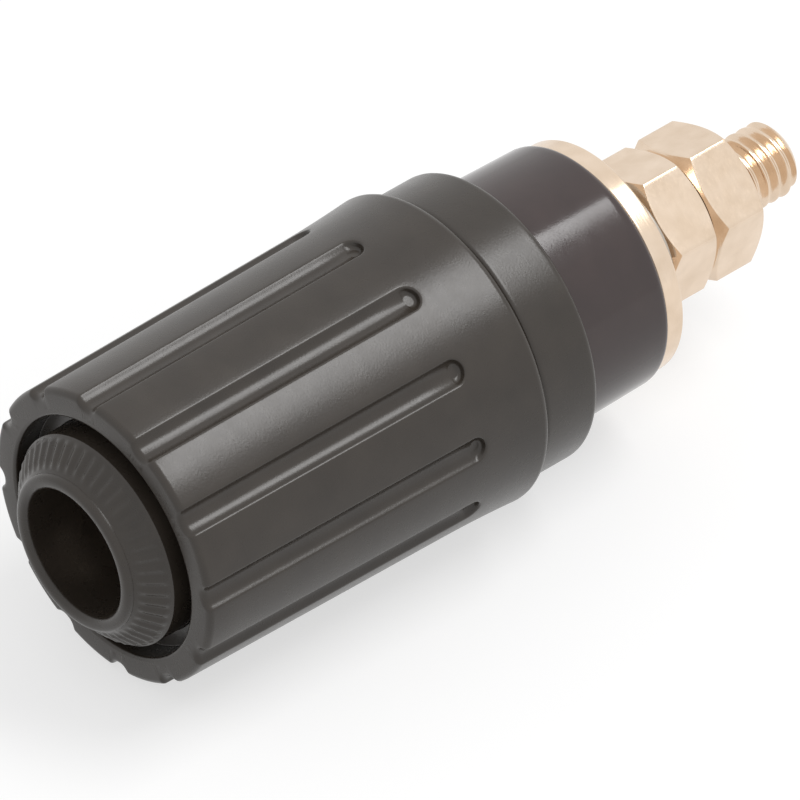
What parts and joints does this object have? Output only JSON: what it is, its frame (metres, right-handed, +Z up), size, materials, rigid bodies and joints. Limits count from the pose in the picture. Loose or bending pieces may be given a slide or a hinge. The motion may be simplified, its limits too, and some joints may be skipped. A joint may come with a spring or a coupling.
{
  "type": "binding post",
  "caption": "Insulated panel binding post: a fluted screw knob clamps a wire over a cross hole, with a plug socket in front and a threaded stud with nuts behind.",
  "frame": {"origin": "centre of the panel seat, on the post's axis, where the front collar's rear face meets the rear insulator", "axes": "+Y along the post from the knob to the free end of the stud, +Z up on a vertical panel"},
  "size_m": [0.017, 0.0463, 0.017],
  "materials": {
    "grip_plastic": "moulded satin black thermoplastic",
    "insulator_plastic": "moulded black thermoplastic, smoother than the grip",
    "plated_brass": "turned brass with a thin pale nickel plating, warm in tone",
    "plain_brass": "turned brass",
    "spring_steel": "plated spring steel"
  },
  "bodies": {
    "base": {"post": "plated_brass", "retaining_ring": "spring_steel", "front_collar": "grip_plastic", "rear_bush": "insulator_plastic", "flat_washer": "plated_brass", "lock_washer": "spring_steel", "mounting_nut": "plated_brass"},
    "clamp": {"pressure_washer": "plated_brass"},
    "knob": {"knob_shell": "grip_plastic", "knob_insert": "plain_brass", "mouth_bush": "grip_plastic"},
    "rear_nut": {"terminal_nut": "plated_brass"}
  },
  "joints": [
    {"name": "clamp_travel", "type": "slide", "parent": "base", "child": "clamp", "axis": [0, -1, 0], "range_m": [0, 0.005]},
    {"name": "knob_turn", "type": "hinge", "parent": "clamp", "child": "knob", "pos_m": [0, 0, 0], "axis": [0, -1, 0], "range_deg": [0, 1800]},
    {"name": "nut_off", "type": "slide", "parent": "base", "child": "rear_nut", "axis": [0, 1, 0], "range_m": [0, 0.00695]}
  ],
  "couplings": [
    {"joint": "clamp_travel", "follows": "knob_turn", "m_per_rad": 0.00015915}
  ]
}
